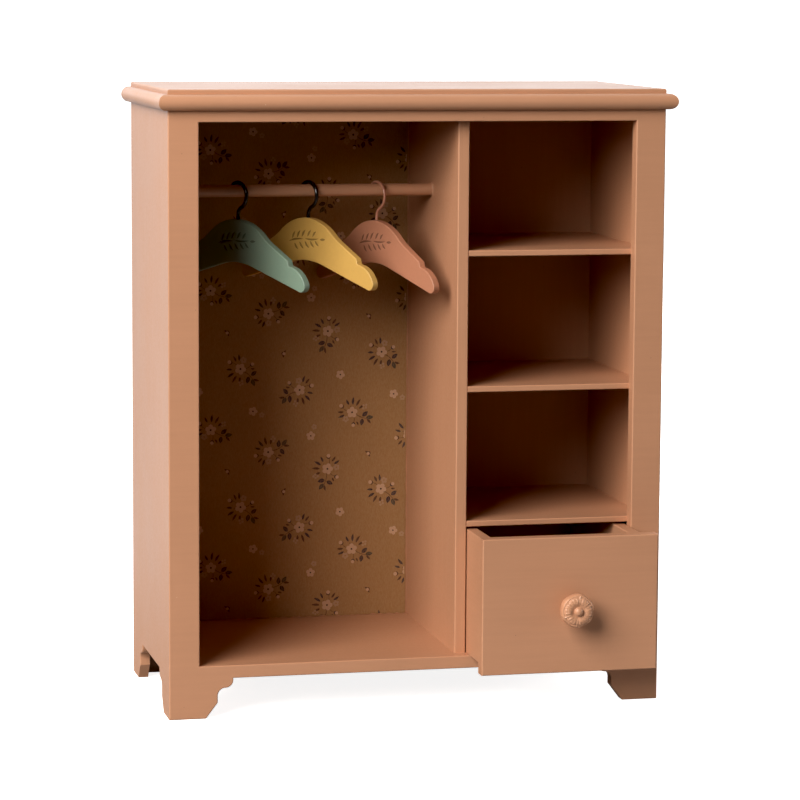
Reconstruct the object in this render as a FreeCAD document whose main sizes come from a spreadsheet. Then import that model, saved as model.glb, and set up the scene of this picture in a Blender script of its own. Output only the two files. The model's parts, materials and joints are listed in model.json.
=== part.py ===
"""Miniature wardrobe for a dolls' house: a carcass, a drawer, and three hangers on a rod.

Millimetres. +X is to the right, +Y to the back, +Z up. Expressions count y from the front of the face
frame, and every placement takes off ORIGIN_Y. That puts the origin on the floor under the middle of the
whole object, with the drawer pulled out as it stands at rest.
"""
import FreeCAD, Part
import math
import os
import Sketcher

os.makedirs("parts", exist_ok=True)
doc = FreeCAD.newDocument("miniature_wardrobe")

# ---------------------------------------------------------------- driving dimensions

DIMENSIONS = {
    # carcass
    "carcass_width": 250,
    "carcass_depth": 120,
    "carcass_height": 308.5,
    "side_board": 5,
    "top_board": 7,
    "floor_board": 6,
    "floor_top": 26.3,
    "edge_round": 0.6,
    "top_round": 0.9,
    # face frame
    "face_board": 7,
    "stile_width": 15.1,
    "rail_under": 19.9,
    "opening_top": 292.7,
    # bracket feet: widths count inwards from the outer corner, heights from the floor
    "toe_width": 18.2,
    "ankle_width": 24.1,
    "ankle_low": 7.8,
    "ankle_high": 11.2,
    "foot_curve": 3.9,
    # cornice, a D-shaped moulding
    "cornice_up": 298.3,
    "cornice_tall": 7.8,
    "cornice_out": 5.0,
    # divider and shelves
    "divider_left": 20.6,
    "divider_board": 5.7,
    "shelf_board": 3,
    "shelf_lowest": 93.2,
    "shelf_pitch": 67.75,
    # back
    "back_face": 113,
    "back_board": 4,
    "paper": 0.3,
    "pin_shank": 0.5,
    "pin_head": 1.1,
    "pin_head_tall": 0.4,
    "pin_long": 11,
    # hanging rod
    "rod_radius": 3.1,
    "rod_back": 62.1,
    "rod_up": 255.6,
    "rod_socket": 2.5,
    # drawer
    "drawer_pulled": 17.5,
    "drawer_face_board": 7,
    "drawer_face_width": 90,
    "drawer_face_under": 20.9,
    "drawer_top": 89,
    "drawer_board": 6,
    "drawer_long": 110,
    "drawer_gap": 0.4,
    "drawer_lift": 0.2,
    "drawer_panel": 3,
    "drawer_panel_up": 4,
    "drawer_groove": 2.5,
    "drawer_back_drop": 3,
    "guide_tall": 10,
    # knob and its screw
    "knob_long": 15,
    "knob_radius": 8.5,
    "knob_drop": 1.2,
    "knob_right": 0.75,
    "screw_hole": 1.5,
    "screw_shank": 1.4,
    "screw_in_knob": 8,
    # hangers
    "hanger_board": 3.6,
    "hanger_round": 0.5,
    "hook_gap": 0.15,
    "hook_neck_bend": 4.5,
    "hook_in_board": 9,
    "hook_fit": 0.05,
}

# each hanger: its place along the rod, the angle of its board to the rod, the drop from the rod's axis
# to the board's top, the radius of the wire and the radius of the hook to the middle of the wire
HANGERS = {
    "green": {"place": -79.5, "angle": 60, "drop": 14.2, "wire": 1.0, "hook": 6.5},
    "yellow": {"place": -43.4, "angle": 62.3, "drop": 13.7, "wire": 1.0, "hook": 6.5},
    "pink": {"place": -8.0, "angle": 68, "drop": 15.5, "wire": 0.75, "hook": 6.9},
}
for colour, values in HANGERS.items():
    for key, value in values.items():
        DIMENSIONS[f"{colour}_{key}"] = value

dims = doc.addObject("Spreadsheet::Sheet", "dims")
for row, (alias, value) in enumerate(DIMENSIONS.items(), start=1):
    dims.set(f"A{row}", alias)
    dims.set(f"B{row}", str(value))
    dims.setAlias(f"B{row}", alias)
doc.recompute()

# places that several sub-parts share, as expressions
FRONT_REACH = "(dims.drawer_pulled + dims.drawer_face_board + dims.knob_long)"
ORIGIN_Y = f"(dims.carcass_depth - {FRONT_REACH}) / 2"
HALF = "dims.carcass_width / 2"
INSIDE = f"({HALF} - dims.side_board)"
UNDER_TOP = "(dims.carcass_height - dims.top_board)"
FLOOR_UNDER = "(dims.floor_top - dims.floor_board)"
STILE_EDGE = f"({HALF} - dims.stile_width)"
DIVIDER_RIGHT = "(dims.divider_left + dims.divider_board)"
DRAWER_LEFT = f"({DIVIDER_RIGHT} + dims.drawer_gap)"
DRAWER_RIGHT = f"({STILE_EDGE} - dims.drawer_gap)"
DRAWER_UNDER = "(dims.floor_top + dims.drawer_lift)"
DRAWER_PANEL = f"({DRAWER_UNDER} + dims.drawer_panel_up)"
KNOB_X = f"({DRAWER_LEFT} + dims.drawer_face_width / 2 + dims.knob_right)"
KNOB_Y = "-(dims.drawer_pulled + dims.drawer_face_board)"
KNOB_Z = "((dims.drawer_face_under + dims.drawer_top) / 2 - dims.knob_drop)"

SUBPARTS = []


def size(alias):
    """A driving dimension, as a number."""
    return float(dims.get(alias))


def keep(thing, node):
    """Gives a finished sub-part its node's name."""
    thing.Label = node
    SUBPARTS.append(thing)
    return thing


# ---------------------------------------------------------------- Part features


def place(thing, x="0", y="0", z="0"):
    """Binds a placement to expressions, with y counted from the front of the face frame."""
    thing.setExpression("Placement.Base.x", x)
    thing.setExpression("Placement.Base.y", f"{y} - {ORIGIN_Y}")
    thing.setExpression("Placement.Base.z", z)


def box(name, x, y, z, length, width, height):
    """A board: its lowest corner and its sizes along X, Y and Z, as expressions."""
    board = doc.addObject("Part::Box", name)
    board.setExpression("Length", length)
    board.setExpression("Width", width)
    board.setExpression("Height", height)
    place(board, x, y, z)
    return board


def cylinder(name, turn, x, y, z, radius, length):
    """A cylinder from a point, along the way that a rotation turns +Z."""
    rod = doc.addObject("Part::Cylinder", name)
    rod.Placement = FreeCAD.Placement(FreeCAD.Vector(0, 0, 0), turn)
    rod.setExpression("Radius", radius)
    rod.setExpression("Height", length)
    place(rod, x, y, z)
    return rod


ALONG_X = FreeCAD.Rotation(FreeCAD.Vector(0, 1, 0), 90)
ALONG_Y = FreeCAD.Rotation(FreeCAD.Vector(1, 0, 0), -90)
TOWARDS_FRONT = FreeCAD.Rotation(FreeCAD.Vector(1, 0, 0), 90)


def cut(name, base, tool):
    """The base less the tool."""
    result = doc.addObject("Part::Cut", name)
    result.Base = base
    result.Tool = tool
    doc.recompute()
    return result


def group(name, members):
    """Several separate solids as one object."""
    result = doc.addObject("Part::Compound", name)
    result.Links = members
    doc.recompute()
    return result


def edge_numbers(shape, wanted):
    """Numbers of the edges whose bounding boxes a test picks."""
    return [number for number, edge in enumerate(shape.Edges, start=1) if wanted(edge.BoundBox)]


def rounded(name, base, wanted, alias="edge_round"):
    """The base with the edges that a test picks rounded over."""
    doc.recompute()
    radius = size(alias)
    result = doc.addObject("Part::Fillet", name)
    result.Base = base
    result.Edges = [(number, radius, radius) for number in edge_numbers(base.Shape, wanted)]
    doc.recompute()
    return result


def on_plane(low, high, value):
    """True where an edge lies in a plane across one axis."""
    return abs(low - value) < 0.001 and abs(high - value) < 0.001


# ---------------------------------------------------------------- sketches and bodies


def new_body(name):
    """An empty body."""
    return doc.addObject("PartDesign::Body", name)


def sketch_on(body, name, role, curves):
    """A sketch of fixed curves on one of the body's own origin planes."""
    sketch = body.newObject("Sketcher::SketchObject", name)
    plane = next(item for item in body.Origin.OriginFeatures if item.Role == role)
    sketch.AttachmentSupport = (plane, [""])
    sketch.MapMode = "FlatFace"
    for curve in curves:
        sketch.addConstraint(Sketcher.Constraint("Block", sketch.addGeometry(curve, False)))
    doc.recompute()
    return sketch


def pad(body, name, sketch, length, backwards=False):
    """Extrudes a sketch by a length, given as an expression."""
    feature = body.newObject("PartDesign::Pad", name)
    feature.Profile = sketch
    feature.setExpression("Length", length)
    feature.Reversed = backwards
    doc.recompute()
    return feature


def turned(body, name, sketch):
    """Turns a sketch a full circle about its horizontal axis."""
    feature = body.newObject("PartDesign::Revolution", name)
    feature.Profile = sketch
    feature.ReferenceAxis = (sketch, ["H_Axis"])
    feature.Angle = 360
    doc.recompute()
    return feature


def curve_through(points):
    """A line through two points, or an arc of a circle through three."""
    vectors = [FreeCAD.Vector(x, y, 0) for x, y in points]
    return Part.LineSegment(*vectors) if len(vectors) == 2 else Part.ArcOfCircle(*vectors)


def polyline(points):
    """Lines from each point to the next."""
    return [curve_through(pair) for pair in zip(points, points[1:])]


def on_circle(centre, radius, degrees):
    """The point of a circle at an angle."""
    angle = math.radians(degrees)
    return (centre[0] + radius * math.cos(angle), centre[1] + radius * math.sin(angle))


def arc(centre, radius, first, last):
    """The points that fix an arc between two angles."""
    return [on_circle(centre, radius, angle) for angle in (first, (first + last) / 2, last)]


def mirrored(points):
    """The same points on the other side of the vertical axis."""
    return [(-x, y) for x, y in points]


# ---------------------------------------------------------------- carcass


def foot_profile(corner, inwards):
    """A bracket foot from its toe up to the rail: a slope, a straight ankle, a cove and a quarter
    round. Its widths count from the outer corner, and inwards is 1 or -1."""
    ankle = size("ankle_width")
    curve = size("foot_curve")
    cove_centre = (ankle + curve, size("ankle_high"))
    round_centre = (ankle + curve, size("ankle_high") + 2 * curve)
    runs = [
        [(size("toe_width"), 0), (ankle, size("ankle_low"))],
        [(ankle, size("ankle_low")), (ankle, size("ankle_high"))],
        arc(cove_centre, curve, 180, 90),
        arc(round_centre, curve, -90, 0),
        [(ankle + 2 * curve, round_centre[1]), (ankle + 2 * curve, size("rail_under"))],
    ]
    return [[(corner + inwards * x, y) for x, y in run] for run in runs]


def footed_outline(left, right, left_corner, right_corner, top):
    """The closed outline of a board that stands on two bracket feet."""
    left_foot = foot_profile(left_corner, 1)
    right_foot = foot_profile(right_corner, -1)
    runs = left_foot + right_foot
    runs += [[left_foot[-1][-1], right_foot[-1][-1]]]
    runs += [[(left, 0), left_foot[0][0]], [(right, 0), right_foot[0][0]]]
    runs += [[(left, 0), (left, top)], [(left, top), (right, top)], [(right, top), (right, 0)]]
    return [curve_through(run) for run in runs]


def front_frame():
    """Face frame of stiles and rails in one board, cut out for the bays and on bracket feet."""
    half = size("carcass_width") / 2
    top = size("carcass_height") - size("top_board")
    body = new_body("face_board_body")
    sketch = sketch_on(body, "face_board_outline", "XZ_Plane", footed_outline(-half, half, -half, half, top))
    pad(body, "face_board_pad", sketch, "dims.face_board", backwards=True)
    place(body)
    window = box("face_window", f"-{STILE_EDGE}", "-1", "dims.floor_top", f"2 * {STILE_EDGE}",
                 "dims.face_board + 2", "dims.opening_top - dims.floor_top")
    frame = cut("face_board_cut", body, window)
    front = frame.Shape.BoundBox.YMin
    return keep(rounded("face_board_round", frame, lambda b: on_plane(b.YMin, b.YMax, front)), "front_frame")


def side_panel(node, x, outer_is_left):
    """Side of the carcass behind the face frame, on the same feet as the front. The outer edges of its
    arch and its back are rounded, the ground edges aren't."""
    above_ground = 0.1
    depth = size("carcass_depth")
    top = size("carcass_height") - size("top_board")
    body = new_body(f"{node}_body")
    outline = footed_outline(size("face_board"), depth, 0, depth, top)
    pad(body, f"{node}_pad", sketch_on(body, f"{node}_outline", "YZ_Plane", outline), "dims.side_board")
    place(body, x)
    doc.recompute()
    bounds = body.Shape.BoundBox
    outer = bounds.XMin if outer_is_left else bounds.XMax
    back = bounds.YMax

    def wanted(b):
        on_arch = on_plane(b.XMin, b.XMax, outer) and b.ZMax < size("floor_top") and b.ZMin > above_ground
        return on_arch or on_plane(b.XMin, b.XMax, outer) and on_plane(b.YMin, b.YMax, back)

    return rounded(f"{node}_round", body, wanted)


def carcass():
    """The boards of the carcass."""
    front_frame()
    socket = cylinder("rod_socket_left", ALONG_X, f"-({INSIDE} + dims.rod_socket)", "dims.rod_back",
                      "dims.rod_up", "dims.rod_radius", "2 * dims.rod_socket")
    left = side_panel("side_panel_left", f"-{HALF}", True)
    keep(cut("side_left_cut", left, socket), "side_panel_left")
    keep(side_panel("side_panel_right", INSIDE, False), "side_panel_right")

    top = box("top_panel_box", f"-{HALF}", "0", UNDER_TOP, "dims.carcass_width", "dims.carcass_depth",
              "dims.top_board")
    doc.recompute()
    highest = top.Shape.BoundBox.ZMax
    panel = rounded("top_panel_round", top, lambda b: on_plane(b.ZMin, b.ZMax, highest), "top_round")
    keep(panel, "top_panel")

    behind_face = "dims.back_face - dims.face_board"
    floor = box("floor_box", f"-{INSIDE}", "dims.face_board", FLOOR_UNDER, f"2 * {INSIDE}", behind_face,
                "dims.floor_board")
    divider = box("divider_box", "dims.divider_left", "dims.face_board", "dims.floor_top",
                  "dims.divider_board", behind_face, f"{UNDER_TOP} - dims.floor_top")
    back = box("back_box", f"-{INSIDE}", "dims.back_face", "0", f"2 * {INSIDE}", "dims.back_board",
               UNDER_TOP)
    rod_end = cylinder("rod_socket_right", ALONG_X, "dims.divider_left", "dims.rod_back", "dims.rod_up",
                       "dims.rod_radius", "dims.rod_socket")
    divider_front = rounded("divider_round", divider, vertical_front_edges(divider))
    shanks = back_pins()
    keep(cut("floor_board_cut", floor, shanks), "floor_board")
    keep(cut("divider_cut", cut("divider_socket", divider_front, rod_end), shanks), "divider")
    keep(cut("back_board_cut", back, shanks), "back_board")

    keep(box("paper_box", f"-{INSIDE}", "dims.back_face - dims.paper", "dims.floor_top",
             f"{INSIDE} + dims.divider_left", "dims.paper", f"{UNDER_TOP} - dims.floor_top"), "back_paper")
    rod = cylinder("rod_cylinder", ALONG_X, f"-({INSIDE} + dims.rod_socket)", "dims.rod_back", "dims.rod_up",
                   "dims.rod_radius", f"{INSIDE} + dims.divider_left + 2 * dims.rod_socket")
    keep(rod, "hanging_rod")


def is_long(b):
    """Whether an edge runs the length of a board, and not through its thickness."""
    return b.DiagonalLength > 50


def vertical_front_edges(board):
    """A test for the two upright front edges of a board."""
    doc.recompute()
    front = board.Shape.BoundBox.YMin
    return lambda b: on_plane(b.YMin, b.YMax, front) and b.ZLength > b.XLength


def back_pins():
    """Panel pins through the back board, four into the floor and three into the divider. Gives their
    shanks, which are the holes that the boards need."""
    middle_floor = f"{FLOOR_UNDER} + dims.floor_board / 2"
    middle_divider = "dims.divider_left + dims.divider_board / 2"
    floor_row = [(2 * k - 3) * 0.3 for k in range(4)]
    divider_row = [(k + 0.5) / 3 for k in range(3)]
    inside_tall = f"({UNDER_TOP} - dims.floor_top)"
    places = [(f"{share} * {INSIDE}", middle_floor) for share in floor_row]
    places += [(middle_divider, f"dims.floor_top + {share} * {inside_tall}") for share in divider_row]
    rear = "dims.back_face + dims.back_board"
    shanks = []
    pins = []
    for number, (x, z) in enumerate(places, start=1):
        shank = cylinder(f"pin_shank_{number}", TOWARDS_FRONT, x, rear, z, "dims.pin_shank",
                         "dims.pin_long")
        head = cylinder(f"pin_head_{number}", ALONG_Y, x, rear, z, "dims.pin_head", "dims.pin_head_tall")
        pin = doc.addObject("Part::Fuse", f"pin_{number}")
        pin.Base = shank
        pin.Tool = head
        shanks.append(shank)
        pins.append(pin)
    keep(group("pins", pins), "back_pins")
    return group("pin_holes", shanks)


def shelves():
    """Shelves between the divider and the right side, and the strip that guides the drawer."""
    for number, node in enumerate(("shelf_lower", "shelf_middle", "shelf_upper")):
        under = f"dims.shelf_lowest - dims.shelf_board + {number} * dims.shelf_pitch"
        board = box(f"{node}_box", DIVIDER_RIGHT, "dims.face_board", under, f"{INSIDE} - {DIVIDER_RIGHT}",
                    "dims.back_face - dims.face_board", "dims.shelf_board")
        doc.recompute()
        front = board.Shape.BoundBox.YMin
        keep(rounded(f"{node}_round", board, lambda b: on_plane(b.YMin, b.YMax, front) and is_long(b)), node)
    guide = box("guide_box", STILE_EDGE, "dims.face_board", "dims.floor_top",
                "dims.stile_width - dims.side_board", "dims.back_face - dims.face_board", "dims.guide_tall")
    keep(guide, "drawer_guide_right")


# ---------------------------------------------------------------- cornice


def moulding_profile(outwards):
    """A D: flat on the carcass and above and below, round in front. outwards is 1 or -1."""
    radius = size("cornice_tall") / 2
    flat = size("cornice_out") - radius
    runs = [
        [(0, 0), (flat, 0)],
        arc((flat, radius), radius, -90, 90),
        [(flat, 2 * radius), (0, 2 * radius)],
        [(0, 2 * radius), (0, 0)],
    ]
    return [curve_through([(outwards * x, y) for x, y in run]) for run in runs]


def mitre_block(name, side, beyond):
    """A block with one face in the mitre of a front corner. side is -1 on the left and 1 on the right.
    beyond is true for the block that trims the front moulding, false for the side mouldings."""
    block = "40"
    half_run = f"{block} / 2 * sqrt(2) / 2"
    tool = doc.addObject("Part::Box", name)
    for length in ("Length", "Width", "Height"):
        tool.setExpression(length, block)
    tool.Placement = FreeCAD.Placement(FreeCAD.Vector(0, 0, 0), FreeCAD.Rotation(-45 * side, 0, 0))
    # the block starts half its length before the corner, and a whole length further in when it trims
    # a side moulding
    inwards = 0 if beyond else 2
    place(tool, f"{side} * {HALF} - (1 + {side * inwards}) * {half_run}",
          f"({side} - {inwards}) * {half_run}", f"dims.cornice_up - {block} / 4")
    return tool


def cornice():
    """Mouldings round the front and the two sides, mitred at the front corners."""
    reach = f"2 * ({HALF} + dims.cornice_out)"
    body = new_body("cornice_front_body")
    sketch = sketch_on(body, "cornice_front_outline", "YZ_Plane", moulding_profile(-1))
    pad(body, "cornice_front_pad", sketch, reach)
    place(body, f"-({HALF} + dims.cornice_out)", "0", "dims.cornice_up")
    strip = cut("cornice_front_left_cut", body, mitre_block("mitre_front_left", -1, True))
    strip = cut("cornice_front_right_cut", strip, mitre_block("mitre_front_right", 1, True))
    keep(strip, "cornice_front")
    for node, side in (("cornice_left", -1), ("cornice_right", 1)):
        body = new_body(f"{node}_body")
        sketch = sketch_on(body, f"{node}_outline", "XZ_Plane", moulding_profile(side))
        pad(body, f"{node}_pad", sketch, "dims.carcass_depth + dims.cornice_out", backwards=True)
        place(body, f"{side} * {HALF}", "-dims.cornice_out", "dims.cornice_up")
        keep(cut(f"{node}_cut", body, mitre_block(f"mitre_{node}", side, False)), node)


# ---------------------------------------------------------------- drawer


def drawer():
    """The drawer's boards. The bottom panel slides into grooves in the face and the sides."""
    pulled = "-dims.drawer_pulled"
    face_y = "-(dims.drawer_pulled + dims.drawer_face_board)"
    inner_left = f"({DRAWER_LEFT} + dims.drawer_board)"
    inner_right = f"({DRAWER_RIGHT} - dims.drawer_board)"
    inner_width = f"({inner_right} - {inner_left})"
    panel = box("drawer_panel_box", f"{inner_left} - dims.drawer_groove", f"{pulled} - dims.drawer_groove",
                DRAWER_PANEL, f"{inner_width} + 2 * dims.drawer_groove",
                "dims.drawer_long + dims.drawer_groove", "dims.drawer_panel")
    keep(panel, "drawer_bottom")

    face = box("drawer_face_box", DRAWER_LEFT, face_y, "dims.drawer_face_under", "dims.drawer_face_width",
               "dims.drawer_face_board", "dims.drawer_top - dims.drawer_face_under")
    doc.recompute()
    front = face.Shape.BoundBox.YMin
    face = rounded("drawer_face_round", face, lambda b: on_plane(b.YMin, b.YMax, front))
    hole = cylinder("screw_hole", ALONG_Y, KNOB_X, face_y, KNOB_Z, "dims.screw_hole",
                    "dims.drawer_face_board")
    keep(cut("drawer_face_groove", cut("drawer_face_hole", face, hole), panel), "drawer_front")

    tall = f"dims.drawer_top - {DRAWER_UNDER}"
    for node, x in (("drawer_side_left", DRAWER_LEFT), ("drawer_side_right", inner_right)):
        board = box(f"{node}_box", x, pulled, DRAWER_UNDER, "dims.drawer_board", "dims.drawer_long", tall)
        doc.recompute()
        top = board.Shape.BoundBox.ZMax
        board = rounded(f"{node}_round", board, lambda b: on_plane(b.ZMin, b.ZMax, top) and is_long(b))
        keep(cut(f"{node}_groove", board, panel), node)
    on_panel = f"({DRAWER_PANEL} + dims.drawer_panel)"
    keep(box("drawer_back_box", inner_left, f"{pulled} + dims.drawer_long - dims.drawer_board", on_panel,
             inner_width, "dims.drawer_board", f"dims.drawer_top - dims.drawer_back_drop - {on_panel}"),
         "drawer_back")


def crown(edge, top):
    """The points of an arc from the edge of a dome to its top, which is on the axis of a turned part."""
    rise = top - edge[0]
    radius = (edge[1] ** 2 + rise**2) / (2 * abs(rise))
    centre = (top - math.copysign(radius, rise), 0)
    on_axis = 0 if rise > 0 else 180
    return arc(centre, radius, math.degrees(math.atan2(edge[1], edge[0] - centre[0])), on_axis)


def knob():
    """A turned knob: a foot, a waist, a rounded rim and a face with a button, and its screw."""
    foot = 4.4
    foot_tall = 1
    waist = 3.9
    waist_at = -2.8
    neck_top = -4.6
    rim = 3.2
    rim_centre = (-9.9, size("knob_radius") - rim)
    face = 1.3 - size("knob_long")
    face_radius = rim_centre[1] - 0.6
    button = 2.2
    rim_back = 25
    rim_front = 165
    runs = [[(0, 0), (0, foot)], [(0, foot), (-foot_tall, foot)]]
    runs += [[(-foot_tall, foot), (waist_at, waist), (neck_top, foot)]]
    runs += [[(neck_top, foot), on_circle(rim_centre, rim, rim_back)]]
    runs += [arc(rim_centre, rim, rim_back, rim_front)]
    runs += [[on_circle(rim_centre, rim, rim_front), (face, face_radius)]]
    runs += [[(face, face_radius), (face, button)]]
    runs += [crown((face, button), -size("knob_long")), [(-size("knob_long"), 0), (0, 0)]]
    body = new_body("knob_body")
    sketch = sketch_on(body, "knob_outline", "YZ_Plane", [curve_through(run) for run in runs])
    turned(body, "knob_turned", sketch)
    place(body, KNOB_X, KNOB_Y, KNOB_Z)
    bore = cylinder("knob_bore", TOWARDS_FRONT, KNOB_X, KNOB_Y, KNOB_Z, "dims.screw_shank",
                    "dims.screw_in_knob")
    keep(cut("knob_cut", body, bore), "drawer_knob")

    head = 3
    inner = size("drawer_face_board")
    head_edge = inner + 0.5
    head_top = inner + 1.6
    shank = size("screw_shank")
    tip = -size("screw_in_knob")
    runs = polyline([(head_top, 0), (tip, 0), (tip, shank), (inner, shank), (inner, head), (head_edge, head)])
    runs += [curve_through(crown((head_edge, head), head_top))]
    body = new_body("knob_screw_body")
    turned(body, "knob_screw_turned", sketch_on(body, "knob_screw_outline", "YZ_Plane", runs))
    place(body, KNOB_X, KNOB_Y, KNOB_Z)
    keep(body, "knob_screw")


# ---------------------------------------------------------------- hangers


def hanger_half(drop):
    """One arm of a hanger from the top of its dome to the middle of its underside, as runs of two or
    three points: a dome, a hollow, a straight arm, a notch, a lobed tip and an arched underside."""
    dome = 32
    hollow = 30
    arm_slope = -27.5
    notch = 39.5
    notch_deep = 2.4
    notch_lean = 0.7
    dome_turn = 40
    dome_centre = (0, -drop - dome)
    runs = [arc(dome_centre, dome, 90, 90 - dome_turn)]
    shoulder = runs[-1][-1]
    hollow_centre = on_circle(shoulder, hollow, 90 - dome_turn)
    runs += [arc(hollow_centre, hollow, 270 - dome_turn, 270 + arm_slope)]
    elbow = runs[-1][-1]
    notch_top = (notch, elbow[1] + (notch - elbow[0]) * math.tan(math.radians(arm_slope)))
    notch_low = (notch + notch_lean, notch_top[1] - notch_deep)
    lobe_start = (notch_low[0] + 0.9, notch_low[1] - 0.5)
    runs += [[elbow, notch_top], [notch_top, notch_low], [notch_low, lobe_start]]

    lobe = 13.6
    lobe_slope = -5
    tip_slope = -65
    lobe_centre = on_circle(lobe_start, lobe, lobe_slope - 90)
    runs += [arc(lobe_centre, lobe, lobe_slope + 90, tip_slope + 90)]
    tip = 3.2
    under_slope = 164.4
    tip_start = runs[-1][-1]
    tip_centre = on_circle(tip_start, tip, tip_slope - 90)
    runs += [arc(tip_centre, tip, tip_slope + 90, under_slope - 360 + 90)]
    under_start = runs[-1][-1]

    arch = 48
    rise = 180 - under_slope
    arch_reach = arch * math.sin(math.radians(rise))
    line_end = (arch_reach, under_start[1] + (under_start[0] - arch_reach) * math.tan(math.radians(rise)))
    arch_centre = on_circle(line_end, arch, -90 - rise)
    runs += [[under_start, line_end], arc(arch_centre, arch, 90 - rise, 90)]
    return runs


def hang(thing, colour):
    """Hangs a body at its hanger's place on the rod, turned to its angle."""
    place(thing, f"dims.{colour}_place", "dims.rod_back", "dims.rod_up")
    thing.setExpression("Placement.Rotation.Angle", f"-dims.{colour}_angle * 1 deg")


def hanger_board(colour):
    """The flat wooden hanger, with a blind hole for its hook."""
    body = new_body(f"hanger_{colour}_body")
    half = hanger_half(size(f"{colour}_drop"))
    outline = [curve_through(run) for run in half + [mirrored(run) for run in half]]
    sketch = sketch_on(body, f"hanger_{colour}_outline", "XZ_Plane", outline)
    sketch.setExpression("AttachmentOffset.Base.z", "dims.hanger_board / 2")
    plate = pad(body, f"hanger_{colour}_pad", sketch, "dims.hanger_board", backwards=True)
    flat = [f"Edge{number}" for number in edge_numbers(plate.Shape, lambda b: b.YLength < 0.001)]
    fillet = body.newObject("PartDesign::Fillet", f"hanger_{colour}_round")
    fillet.Base = (plate, flat)
    fillet.setExpression("Radius", "dims.hanger_round")
    doc.recompute()

    hole_radius = size(f"{colour}_wire") + size("hook_fit")
    circle = Part.Circle(FreeCAD.Vector(0, 0, 0), FreeCAD.Vector(0, 0, 1), hole_radius)
    mouth = sketch_on(body, f"hanger_{colour}_mouth", "XY_Plane", [circle])
    mouth.setExpression("AttachmentOffset.Base.z", f"-dims.{colour}_drop")
    hole = body.newObject("PartDesign::Pocket", f"hanger_{colour}_hole")
    hole.Profile = mouth
    hole.setExpression("Length", "dims.hook_in_board")
    doc.recompute()
    if hole.Shape.Volume >= fillet.Shape.Volume:
        raise RuntimeError(f"the hole for the {colour} hook cuts nothing")
    hang(body, colour)
    keep(body, f"hanger_board_{colour}")


def hanger_hook(colour):
    """The wire hook: a stem, a bend back and an arc over the rod, whose crown rests on the rod."""
    wire = size(f"{colour}_wire")
    hook = size(f"{colour}_hook")
    bend = size("hook_neck_bend")
    crown = size("rod_radius") + size("hook_gap") + wire
    hook_centre = (0, crown - hook)
    lean = math.degrees(math.acos(bend / (hook + bend)))
    bend_centre = (bend, hook_centre[1] - math.sqrt((hook + bend) ** 2 - bend**2))
    end_clearance = 0.2
    foot = -size(f"{colour}_drop") - size("hook_in_board") + end_clearance
    tip_angle = 185
    runs = [[(0, foot), (0, bend_centre[1])], arc(bend_centre, bend, 180, 180 - lean)]
    runs += [arc(hook_centre, hook, -lean, tip_angle)]

    body = new_body(f"hook_{colour}_body")
    spine = sketch_on(body, f"hook_{colour}_spine", "XZ_Plane", [curve_through(run) for run in runs])
    circle = Part.Circle(FreeCAD.Vector(0, 0, 0), FreeCAD.Vector(0, 0, 1), wire)
    section = sketch_on(body, f"hook_{colour}_section", "XY_Plane", [circle])
    section.AttachmentOffset = FreeCAD.Placement(FreeCAD.Vector(0, 0, foot), FreeCAD.Rotation())
    doc.recompute()
    pipe = body.newObject("PartDesign::AdditivePipe", f"hook_{colour}_pipe")
    pipe.Profile = section
    pipe.Spine = (spine, [f"Edge{number}" for number in range(1, len(runs) + 1)])
    doc.recompute()
    hang(body, colour)
    keep(body, f"hanger_hook_{colour}")


# ---------------------------------------------------------------- the whole

carcass()
shelves()
cornice()
drawer()
knob()
for colour in HANGERS:
    hanger_board(colour)
    hanger_hook(colour)
doc.recompute()

for thing in doc.Objects:
    if "Invalid" in thing.State or "Error" in thing.State:
        raise RuntimeError(f"{thing.Name} failed: {thing.State}")
for thing in SUBPARTS:
    if thing.Shape.isNull() or not thing.Shape.isValid():
        raise RuntimeError(f"{thing.Label} has no valid shape")
for thing in SUBPARTS:
    thing.Shape.exportStep(f"parts/{thing.Label}.step")
    bounds = thing.Shape.optimalBoundingBox()
    corners = (bounds.XMin, bounds.YMin, bounds.ZMin, bounds.XMax, bounds.YMax, bounds.ZMax)
    print(thing.Label, len(thing.Shape.Solids), "solids", round(thing.Shape.Volume, 1), "mm3",
          " ".join(f"{value:.2f}" for value in corners))
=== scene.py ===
"""Looks for the miniature wardrobe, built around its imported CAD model. Metres, in the row frame."""

import json
import math
import random

import bmesh
import bpy
from mathutils import Matrix, Vector
from mathutils.geometry import delaunay_2d_cdt


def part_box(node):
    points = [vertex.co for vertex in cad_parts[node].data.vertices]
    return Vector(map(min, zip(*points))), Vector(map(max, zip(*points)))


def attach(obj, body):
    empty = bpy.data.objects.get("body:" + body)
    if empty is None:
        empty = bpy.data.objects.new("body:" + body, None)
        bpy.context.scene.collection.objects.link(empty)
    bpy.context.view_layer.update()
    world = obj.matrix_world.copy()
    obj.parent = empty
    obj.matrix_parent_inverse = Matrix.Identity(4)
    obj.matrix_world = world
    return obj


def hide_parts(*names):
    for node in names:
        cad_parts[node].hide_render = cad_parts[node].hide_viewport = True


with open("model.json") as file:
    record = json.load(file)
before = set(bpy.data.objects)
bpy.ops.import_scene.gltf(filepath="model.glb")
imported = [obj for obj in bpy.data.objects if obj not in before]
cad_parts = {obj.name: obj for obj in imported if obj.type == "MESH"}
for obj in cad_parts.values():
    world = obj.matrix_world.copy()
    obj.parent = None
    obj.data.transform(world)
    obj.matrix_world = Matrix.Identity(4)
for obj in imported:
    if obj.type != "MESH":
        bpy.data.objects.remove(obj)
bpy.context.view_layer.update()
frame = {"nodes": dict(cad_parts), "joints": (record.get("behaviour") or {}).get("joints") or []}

MM = 0.001
TURN = 2 * math.pi


# ---------------------------------------------------------------- shader trees


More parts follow.
